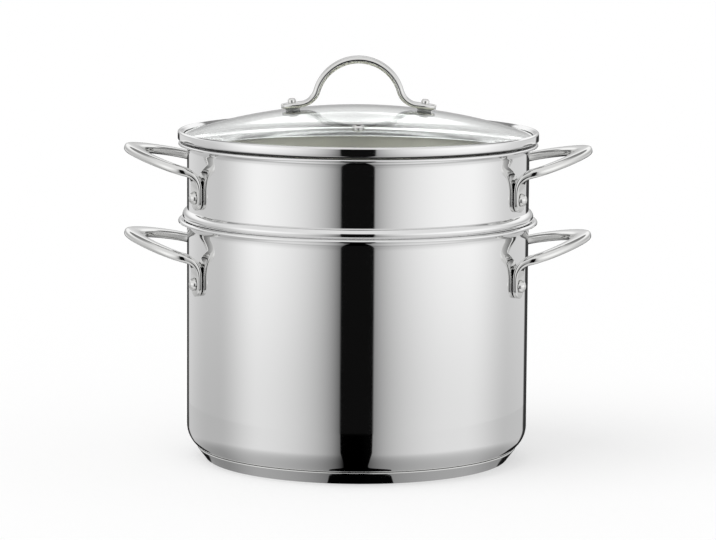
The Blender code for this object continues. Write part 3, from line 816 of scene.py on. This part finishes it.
def side_handles(body, height, wall):
    """Both loop handles of a body at the height of their rivets, and the four rivets."""
    half = side_handle_half()
    handle = swept(half + mirrored(half[:-1], Vector((0, 1, 0))), 0.8)
    for side, turn in (("right", 0), ("left", pi)):
        matrix = Matrix.Translation((0, 0, height)) @ Matrix.Rotation(turn, 4, "Z")
        name = f"{body}_handle_{side}"
        put(f"{name}_bar", handle, body, [BRIGHT], [name], matrix)
    rivet = side_rivet(wall)
    angles = {"right_front": -FOOT_ANGLE, "right_back": FOOT_ANGLE,
              "left_front": pi + FOOT_ANGLE, "left_back": pi - FOOT_ANGLE}
    for side, angle in angles.items():
        name = f"{body}_rivet_{side}"
        put(f"{name}_domed", rivet, body, [BRIGHT], [name], wall_place(angle, height))


# Lid

def cut(mesh, places, radius):
    """The mesh with a round hole drilled through it along each place's Z axis."""
    bm = bmesh.new()
    for matrix in places:
        bmesh.ops.create_cone(bm, cap_ends=True, segments=SMALL_AROUND, radius1=radius, radius2=radius,
                              depth=4 * GLASS_THICKNESS, matrix=matrix)
    blank = add_object("blank", mesh)
    tool = add_object("tool", mesh_of(bm))
    boolean = blank.modifiers.new("cut", "BOOLEAN")
    boolean.operation = "DIFFERENCE"
    boolean.solver = "EXACT"
    boolean.object = tool
    graph = bpy.context.evaluated_depsgraph_get()
    result = bpy.data.meshes.new_from_object(blank.evaluated_get(graph))
    for helper in (blank, tool):
        bpy.data.objects.remove(helper)
    return result


def lid_glass():
    """Domed glass with a ground edge, drilled for the handle's rivets and the vent."""
    edge = GLASS_RADIUS - GLASS_GROUND

    def dome(radius):
        return arc((0, GLASS_CENTRE), radius, pi / 2, pi / 2 - asin(edge / radius), 48)

    top = dome(GLASS_ROUND)
    under = dome(GLASS_ROUND - GLASS_THICKNESS)
    side = [(GLASS_RADIUS, top[-1][1] - GLASS_GROUND), (GLASS_RADIUS, under[-1][1] + GLASS_GROUND)]
    mesh = turned(top + side + under[::-1], AROUND)
    feet = [dome_place(-LID_FOOT_OFFSET, 0), dome_place(LID_FOOT_OFFSET, 0)]
    mesh = cut(mesh, feet, LID_SHANK + GAP)
    mesh = cut(mesh, [dome_place(0, -VENT_OFFSET)], VENT_BARREL + GAP)
    mesh.set_sharp_from_angle(angle=SHARP)
    put("lid_dome", mesh, "lid", [GLASS], ["lid_glass"])


def flange_height(radius):
    """Middle of the band's sheet where it lies one gap above the glass."""
    return GLASS_CENTRE + sqrt(GLASS_ROUND ** 2 - radius ** 2) + GAP + BAND_SKIN / 2


def lid_band():
    """Rolled rim: a flange on the glass, the rolled top, a straight side with a round bottom, a step
    in under the glass to the shelf on the insert's lip, and the skirt."""
    half = BAND_SKIN / 2
    outer = BAND_RADIUS - half
    top = BAND_BOTTOM + BAND_TOP - half
    flange = flange_height(BAND_OPENING)
    hem = BAND_BOTTOM + BAND_LIFT + half
    waist = GLASS_RADIUS + GAP + half
    shelf = BAND_BOTTOM + half
    skirt = POT_RADIUS - INSERT_WALL - SKIRT_CLEARANCE - half
    skirt_end = shelf - SKIRT_DEPTH
    flange_flat = 0.0003
    flange_centre = (BAND_OPENING + flange_flat, flange + FLANGE_ROUND)
    line = [(BAND_OPENING, flange)]
    line += arc(flange_centre, FLANGE_ROUND, -pi / 2, radians(-35), 4)
    line += arc((outer - BAND_ROUND, top - BAND_ROUND), BAND_ROUND, radians(140), 0, 12)
    line += arc((outer - BAND_HEM, hem + BAND_HEM), BAND_HEM, 0, -pi / 2, 8)
    line += arc((waist + STEP_ROUND, hem - STEP_ROUND), STEP_ROUND, pi / 2, pi, 5)[1:]
    line += arc((waist - STEP_ROUND, shelf + STEP_ROUND), STEP_ROUND, 0, -pi / 2, 5)
    line += arc((skirt + SHELF_ROUND, shelf - SHELF_ROUND), SHELF_ROUND, pi / 2, pi, 10)
    line += arc((skirt - SKIRT_HEM, skirt_end + SKIRT_HEM), SKIRT_HEM, 0, radians(-110), 8)
    mesh = sheet_turned(line[::-1], BAND_SKIN, ("first", "last"))
    margin = 0.0001
    low = shelf - half - margin
    high = hem + margin
    # Faces in the crevice under the band's side get the painted shade.
    for polygon in mesh.polygons:
        if low < polygon.center.z < high and polygon.center.xy.length > waist:
            polygon.material_index = GROOVE_SHADE
    put("lid_band_sheet", mesh, "lid", [POLISHED, POLISHED, FOLD_SHADE], ["lid_rim_band"])


def lid_handle_half():
    """Stations from the right foot's tip up to the top of the arch, in the XZ plane."""
    place = dome_place(LID_FOOT_OFFSET, 0)
    normal = (place.to_3x3() @ Vector((0, 0, 1))).normalized()
    inward = Vector((-normal.z, 0, normal.x))
    side = Vector((0, 1, 0))
    lift = 2 * GAP + WASHER_THICKNESS
    rivet = place.translation + normal * (lift + LID_FOOT_THICKNESS / 2)
    stations = foot_tip(rivet, inward, side, LID_FOOT_RADIUS, LID_FOOT_THICKNESS)

    arch_centre = Vector((0, 0, DOME_TOP + ARCH_HEIGHT - ARCH_THICKNESS / 2 - ARCH_ROUND))
    start = rivet + normal * ARCH_FILLET - arch_centre
    along = start.dot(inward)
    reach = ARCH_ROUND + ARCH_FILLET
    slide = -along - sqrt(along ** 2 - start.length_squared + reach ** 2)
    fillet_centre = rivet + normal * ARCH_FILLET + inward * slide
    first = -normal
    last = (arch_centre - fillet_centre).normalized()
    turn = first.angle(last)
    fillet_steps = 14
    for i in range(fillet_steps):
        share = i / fillet_steps
        ray = Matrix.Rotation(turn * share, 3, "Y") @ first
        thickness = LID_FOOT_THICKNESS + (ARCH_THICKNESS - LID_FOOT_THICKNESS) * smooth(share)
        forward = Vector((ray.z, 0, -ray.x))
        centre = fillet_centre + ray * ARCH_FILLET
        stations.append((centre, forward, side, LID_FOOT_RADIUS, thickness / 2))
    low = atan2(-last.z, -last.x)
    arch_steps = 22
    for i in range(arch_steps + 1):
        angle = low + (pi / 2 - low) * i / arch_steps
        ray = Vector((cos(angle), 0, sin(angle)))
        forward = Vector((-ray.z, 0, ray.x))
        centre = arch_centre + ray * ARCH_ROUND
        stations.append((centre, forward, side, LID_FOOT_RADIUS, ARCH_THICKNESS / 2))
    return stations


def washer(low):
    """Flat washer with soft edges, its underside at this height in a frame on the dome."""
    inner = LID_SHANK + GAP
    high = low + WASHER_THICKNESS
    outline = [(inner, low), (WASHER_RADIUS - SOFT_EDGE, low), (WASHER_RADIUS, low + SOFT_EDGE)]
    outline += [(WASHER_RADIUS, high - SOFT_EDGE), (WASHER_RADIUS - SOFT_EDGE, high), (inner, high)]
    return turned(outline, ring=True)


def lid_fittings():
    """Handle of the lid with its rivets and washers."""
    half = lid_handle_half()
    handle = swept(half + mirrored(half[:-1], Vector((1, 0, 0))), 0.95)
    put("lid_handle_strap", handle, "lid", [BRIGHT], ["lid_handle"])
    low = GLASS_UNDER - WASHER_THICKNESS
    outer = 3 * GAP + WASHER_THICKNESS + LID_FOOT_THICKNESS
    rivet = turned(rivet_outline(LID_SHANK, LID_TAIL, LID_HEAD, low - GAP, outer, 1.8))
    washers = (("top", "upper", washer(GAP)), ("under", "lower", washer(low)))
    for side, x in (("left", -LID_FOOT_OFFSET), ("right", LID_FOOT_OFFSET)):
        place = dome_place(x, 0)
        put(f"lid_rivet_{side}_domed", rivet, "lid", [BRIGHT], [f"lid_rivet_{side}"], place)
        for name, node, mesh in washers:
            put(f"lid_washer_{name}_{side}", mesh, "lid", [SILICONE], [f"lid_washer_{node}_{side}"], place)


def vent():
    """Steam vent: an eyelet with a barrel through the glass and a flange on each side of it."""
    thick = VENT_FLANGE_THICKNESS
    flange = [(VENT_BORE, thick), (VENT_BORE + 0.001, thick + 0.0002), (VENT_FLANGE - 0.0004, 0.7 * thick)]
    flange += [(VENT_FLANGE, 0.2 * thick), (VENT_FLANGE, 0), (VENT_BARREL, 0)]
    outline = [(radius, GLASS_UNDER - rise) for radius, rise in flange]
    outline += [(radius, GAP + rise) for radius, rise in reversed(flange)]
    put("vent_eyelet", turned(outline, ring=True), "lid", [BRIGHT], ["vent_grommet"],
        dome_place(0, -VENT_OFFSET))


def model():
    """All pieces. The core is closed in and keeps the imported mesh."""
    pot_shell()
    base_cap()
    side_handles("pot", POT_RIVET_HEIGHT, POT_WALL)
    insert_shell()
    side_handles("insert", INSERT_RIVET_HEIGHT, INSERT_WALL)
    lid_glass()
    lid_band()
    lid_fittings()
    vent()
    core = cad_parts["base_core"]
    core.data.materials.clear()
    core.data.materials.append(steel("aluminium_core", (0.80, 0.80, 0.82), 0.45, 0.05, 0.1, True))


# Studio and camera

# A bearing is 0 degrees on the camera's side and 180 behind the pot, and a rise is degrees above the
# horizon. Places on the table are metres from the pot's axis. A fade holds the two values between
# which it runs, and the share of light before and after it.

WALL_LIGHT = 1.19  # brightness of the light panels at both sides
PANEL_LEFT = (8.0, 17.0, 68.0, 108.0, 0.39)  # start, pace, both ends of the fall, and its depth
PANEL_RIGHT = (4.0, 17.0, 78.0, 124.0, 0.32)
PANEL_GROWTH = (20.0, 64.0, 0.92, 1.0)
PANEL_LEFT_REAR = (120.0, 155.0, 1.0, 1.14)
PANEL_RISES = ((-12.5, -6.0, 0.75, 0.92), (-5.5, -2.0, 1.0, 1.087), (-55.0, -22.0, 0.55, 1.0))
PANEL_TOP = (4.0, 26.0)  # where the panels go over into the ceiling
SIDE_CHANGE = (-5.0, 5.0)  # where the left side's light goes over into the right side's
CEILING_LIGHT = 0.86
CEILING_RISE = (42.0, 55.0)  # where the backdrop's side goes over into the ceiling
STRIP_EDGE = (10.2, 11.8)  # side edge of the dark strip on the camera's side
STRIP_TOP = (17.0, 23.0)
STRIP_GLOW = 0.005  # what is left of the light in the strip
FLAG_EDGE_LEFT = 160.0  # where the dark flags behind the pot begin
FLAG_EDGE_RIGHT = 156.0
FLAG_FADE = (-2.0, 2.0, 1.0, 0.06)
FLAG_TOP = (-6.0, 1.0)
BEHIND_BEARING = (100.0, 140.0)
BEHIND_RISE = (-6.0, 5.0)
BACKDROP_LIGHT = 1.10  # the backdrop's, which the lid's glass shows
BACKDROP_ABOVE = 0.25  # that of the darker stretch above it
BACKDROP_TOP = 25.5
BACKDROP_FOOT = (0.0, 17.0, 0.40, 1.0)
INSIDE_BEARINGS = ((32.0, 60.0, 1.0, 3.0), (5.0, 35.0, 0.65, 0.95))
INSIDE_RISE = (10.0, 22.0)

SHINE_RADIUS = 0.28  # how far the table carries on what the panels show
TABLE_SHARE = 0.735  # share of the panels' brightness that the table has
# Painted shade on the glowing disc: it is darker close to the foot.
FOOT_SHADE = (0.11, 0.185, 0.58, 1.0)  # the table is darker close to the foot
FOOT_SHADE_SHIFT = (55.0, 110.0, -0.004, 0.035)
MIRROR_TURN = 0.75  # share of its bearing that the wall's mirror turns a place by
STRIP_START = 0.125  # the strip on the table: its half width grows from here on
STRIP_PACE = 0.2
STRIP_NARROW = 0.010
STRIP_FOOT_HALF = (0.113, 0.119, 0.0228, 0.0095)
STRIP_FOOT_MIDDLE = (0.113, 0.119, 0.003, 0.0)
STRIP_SOFT = (-0.0004, 0.0004)
WEDGE_START = (-1.0, 1.0, 72.5, 67.5)  # the dark side's edge at the foot, left and right
WEDGE_PACE = (-1.0, 1.0, 330.0, 900.0)  # degrees to the metre that it gains further out
WEDGE_BEND = 0.1135
WEDGE_WIDE_PACE = 1600.0
WEDGE_FADE = (-1.0, 1.0, 1.0, 0.02)
REAR_SEEN = (182.0, 188.0)  # straight behind the pot the table is lit again
REAR_BEARING = (162.0, 168.0, 1.0, 0.0)

SKY_LEVEL = 0.75  # share of the light on the object that comes from all sides
FLOOR_COLOUR = 0.5  # the floor's own colour; its glow fills it up to white


def degrees_of(operation, *values):
    """Result of an inverse angle function, in degrees."""
    return times(calc(operation, *values), degrees(1))


def bearing_of(x, y):
    """Bearing in degrees: 0 on the camera's side, and above 0 on the right."""
    return degrees_of("ARCTAN2", x, times(y, -1.0))


def fades(value, settings):
    """Product of several fades of one value."""
    return times(*(ramp(value, *setting) for setting in settings))


def blend(share, low, high):
    """Low where the share is 0 and high where it is 1."""
    first = times(low, calc("SUBTRACT", 1.0, share))
    return calc("ADD", first, times(high, share))


def panel(away, start, pace, fall_start, fall_end, fall):
    """Light that grows away from the strip, and falls again past the object's side."""
    grown = times(calc("SUBTRACT", away, start), -1.0 / pace)
    level = calc("SUBTRACT", 1.0, calc("EXPONENT", grown))
    return times(level, ramp(away, *PANEL_GROWTH),
                 ramp(away, fall_start, fall_end, 1.0, 1.0 - fall))


def panel_light(right, away):
    """Brightness of the panels at both sides, by the bearing that polished steel looks to."""
    left_side = times(panel(away, *PANEL_LEFT), ramp(away, *PANEL_LEFT_REAR))
    level = blend(right, left_side, panel(away, *PANEL_RIGHT))
    return calc("MAXIMUM", times(level, WALL_LIGHT), 0.0)


def side_flags(right, away):
    """Dark behind the pot, where flags stand that draw the dark lines at its sides."""
    edge = blend(right, FLAG_EDGE_LEFT, FLAG_EDGE_RIGHT)
    return ramp(calc("SUBTRACT", away, edge), *FLAG_FADE)


def backdrop_light(rise):
    """Brightness of the backdrop behind the pot and of what is above it."""
    top = ramp(rise, BACKDROP_TOP - 1.0, BACKDROP_TOP + 2.0, BACKDROP_LIGHT, BACKDROP_ABOVE)
    light = times(top, ramp(rise, *BACKDROP_FOOT))
    return blend(ramp(rise, *CEILING_RISE), light, CEILING_LIGHT)


def studio_light(direction, inside):
    """Brightness that polished steel shows, by the direction it looks in. Inside is 1 for steel that
    is seen through the lid's glass and looks out through it.

    The walls of the pot look slightly down, the lid's glass and the tops of the handles look up."""
    x, y, z = split(direction)
    bearing = bearing_of(x, y)
    away = calc("ABSOLUTE", bearing)
    rise = degrees_of("ARCSINE", z)
    right = ramp(bearing, *SIDE_CHANGE)

    level = times(panel_light(right, away), fades(rise, PANEL_RISES))
    level = blend(ramp(rise, *PANEL_TOP), level, CEILING_LIGHT)
    behind = times(ramp(away, *BEHIND_BEARING), ramp(rise, *BEHIND_RISE))
    level = blend(behind, level, backdrop_light(rise))
    sides = blend(ramp(rise, *INSIDE_RISE), 1.0, fades(away, INSIDE_BEARINGS))
    level = times(level, blend(inside, 1.0, sides))
    strip = calc("MAXIMUM", ramp(away, *STRIP_EDGE), ramp(rise, *STRIP_TOP))
    level = calc("MAXIMUM", times(level, strip), STRIP_GLOW)
    flags = calc("MAXIMUM", side_flags(right, away), ramp(rise, *FLAG_TOP))
    return times(level, flags)


def wall_bearing(away, reach):
    """Bearing that the wall looks to where it mirrors this place of the table."""
    half = calc("SINE", times(away, radians(MIRROR_TURN)))
    narrow = times(calc("DIVIDE", POT_RADIUS, reach), half)
    turn = degrees_of("ARCSINE", calc("MINIMUM", narrow, 1.0))
    return calc("ADD", away, turn)


def table_strip(x, y, reach):
    """0 in the dark strip in front of the foot. It widens away from the foot, and close to it too."""
    grown = times(calc("SUBTRACT", reach, STRIP_START), STRIP_PACE)
    half = calc("MAXIMUM", calc("ADD", grown, STRIP_NARROW), ramp(reach, *STRIP_FOOT_HALF))
    across = calc("ABSOLUTE", calc("SUBTRACT", x, ramp(reach, *STRIP_FOOT_MIDDLE)))
    beside = ramp(calc("SUBTRACT", across, half), *STRIP_SOFT)
    return calc("MAXIMUM", beside, calc("GREATER_THAN", y, 0.0))


def table_side(bearing, away, reach):
    """Dark on the table at the sides of the foot, behind an edge that runs out from the foot."""
    start = ramp(bearing, *WEDGE_START)
    close = times(calc("SUBTRACT", reach, BASE_FOOT_RADIUS), ramp(bearing, *WEDGE_PACE))
    wider = times(calc("SUBTRACT", reach, WEDGE_BEND), WEDGE_WIDE_PACE)
    edge = calc("ADD", start, calc("MAXIMUM", close, wider))
    return ramp(calc("SUBTRACT", away, edge), *WEDGE_FADE)


def table_light(place):
    """Glow of the disc that stands in for the table, a painted reflection that polished steel shows. It
    carries on what the panels show by the bearing that the wall looks to, with the dark strip in front,
    the dark sides of the studio and painted shade close to the foot."""
    x, y, _ = split(place)
    reach = from_axis(x, y)
    bearing = bearing_of(x, y)
    away = calc("ABSOLUTE", bearing)
    right = ramp(bearing, *SIDE_CHANGE)
    seen = wall_bearing(away, reach)
    inward = calc("ADD", reach, ramp(away, *FOOT_SHADE_SHIFT))
    level = times(panel_light(right, seen), ramp(inward, *FOOT_SHADE), TABLE_SHARE)
    lit = times(table_side(bearing, away, reach), side_flags(right, seen))
    rear = times(ramp(seen, *REAR_SEEN), ramp(away, *REAR_BEARING))
    strip = calc("MAXIMUM", table_strip(x, y, reach), STRIP_GLOW)
    return times(level, times(strip, calc("MAXIMUM", lit, rear)))


def glowing_table_reflection():
    """A disc round the foot that glows and that only polished steel sees: a painted reflection of the
    table, with painted shade close to the foot.
    """
    bm = bmesh.new()
    bmesh.ops.create_circle(bm, cap_ends=True, segments=96, radius=SHINE_RADIUS)
    mesh = mesh_of(bm)
    piece = add_object("glowing_table_reflection", mesh)
    piece.location.z = -0.00005
    look = bpy.data.materials.new("glowing_table_reflection")
    look.use_nodes = True
    tree = look.node_tree
    tree.nodes.clear()
    glow = add(tree, "Emission")
    feed(table_light(place_on(tree)), glow.inputs["Strength"])
    feed(glow.outputs[0], add(tree, "OutputMaterial").inputs["Surface"])
    mesh.materials.append(look)
    piece.visible_camera = False
    piece.visible_diffuse = False
    piece.visible_transmission = False
    piece.visible_shadow = False


def white(tree, strength):
    """White light of the world, by a number or a socket."""
    made = add(tree, "Background")
    feed((1, 1, 1, 1), made.inputs["Color"])
    feed(strength, made.inputs["Strength"])
    return made.outputs[0]


def mix(tree, share, low, high):
    """One light where the share is 0 and the other where it is 1."""
    made = add(tree, "MixShader")
    for value, socket in zip((share, low, high), made.inputs):
        feed(value, socket)
    return made.outputs[0]


def studio():
    """The world: soft light on the object, white behind it, and the studio in polished steel."""
    world = bpy.data.worlds.new("studio")
    bpy.context.scene.world = world
    world.use_nodes = True
    tree = world.node_tree
    tree.nodes.clear()
    rays = add(tree, "LightPath").outputs
    crosses = rays["Is Transmission Ray"]
    outward = calc("MINIMUM", times(crosses, rays["Glossy Depth"]), 1.0)
    inside = times(outward, calc("GREATER_THAN", rays["Transmission Depth"], 2.5))
    through = times(crosses, calc("LESS_THAN", rays["Glossy Depth"], 0.5))
    straight = calc("MAXIMUM", rays["Is Camera Ray"], through)
    reflected = calc("MAXIMUM", rays["Is Glossy Ray"], outward)
    direction = add(tree, "TexCoord").outputs["Generated"]
    shine = white(tree, studio_light(direction, inside))
    lit = mix(tree, reflected, white(tree, SKY_LEVEL), shine)
    final = mix(tree, straight, lit, white(tree, 1.0))
    feed(final, add(tree, "OutputWorld").inputs["Surface"])


def floor():
    """Pale floor that glows where it is looked at and still takes the object's shadow."""
    reach = 6.0
    level = -0.0001
    corners = [(x * reach, y * reach, level) for x, y in ((-1, -1), (1, -1), (1, 1), (-1, 1))]
    mesh = bpy.data.meshes.new("floor")
    mesh.from_pydata(corners, [], [(0, 1, 2, 3)])
    piece = add_object("floor", mesh)
    look, tree, shader = new_material("pale_floor", (FLOOR_COLOUR,) * 3, 0.0, 0.9)
    feed(0.0, shader.inputs["Specular IOR Level"])
    rays = add(tree, "LightPath").outputs
    seen = calc("MAXIMUM", rays["Is Camera Ray"], rays["Is Transmission Ray"])
    glow = add(tree, "Emission")
    feed(times(seen, 1.0 - FLOOR_COLOUR), glow.inputs["Strength"])
    both = add(tree, "AddShader")
    feed(shader.outputs[0], both.inputs[0])
    feed(glow.outputs[0], both.inputs[1])
    feed(both.outputs[0], tree.nodes["Material Output"].inputs["Surface"])
    mesh.materials.append(look)
    piece.visible_glossy = False


def sun():
    """Soft light from the upper left, so that the floor takes a shadow. With the sky it adds to 1."""
    height = radians(58)
    light = bpy.data.lights.new("window", "SUN")
    light.angle = radians(50)
    light.energy = pi * (1.0 - SKY_LEVEL) / sin(height)
    piece = add_object("window", light)
    aside = Vector((-0.45, -0.30, 0)).normalized()
    towards = aside * cos(height) + Vector((0, 0, sin(height)))
    piece.rotation_euler = (-towards).to_track_quat("-Z", "Y").to_euler()
    piece.visible_glossy = False
    piece.visible_camera = False


def camera():
    """The view of the photograph, fitted to the ellipses of the lips, the base and the lid."""
    sensor = 36.0
    image_width = 716.0
    focal_pixels = 3550.2
    shift_pixels = 0.52
    pitch = radians(90 - 7.607)
    roll = 0.0067
    place = (0, -2.5004, 0.4677)
    view = bpy.data.cameras.new("camera")
    view.sensor_width = sensor
    view.lens = focal_pixels * sensor / image_width
    view.shift_x = shift_pixels / image_width
    view.clip_end = 50
    piece = add_object("camera", view)
    turn = Matrix.Rotation(pitch, 4, "X") @ Matrix.Rotation(roll, 4, "Z")
    piece.matrix_world = Matrix.Translation(place) @ turn
    bpy.context.scene.camera = piece


model()
studio()
floor()
glowing_table_reflection()
sun()
camera()
bpy.context.scene.view_settings.view_transform = "Standard"
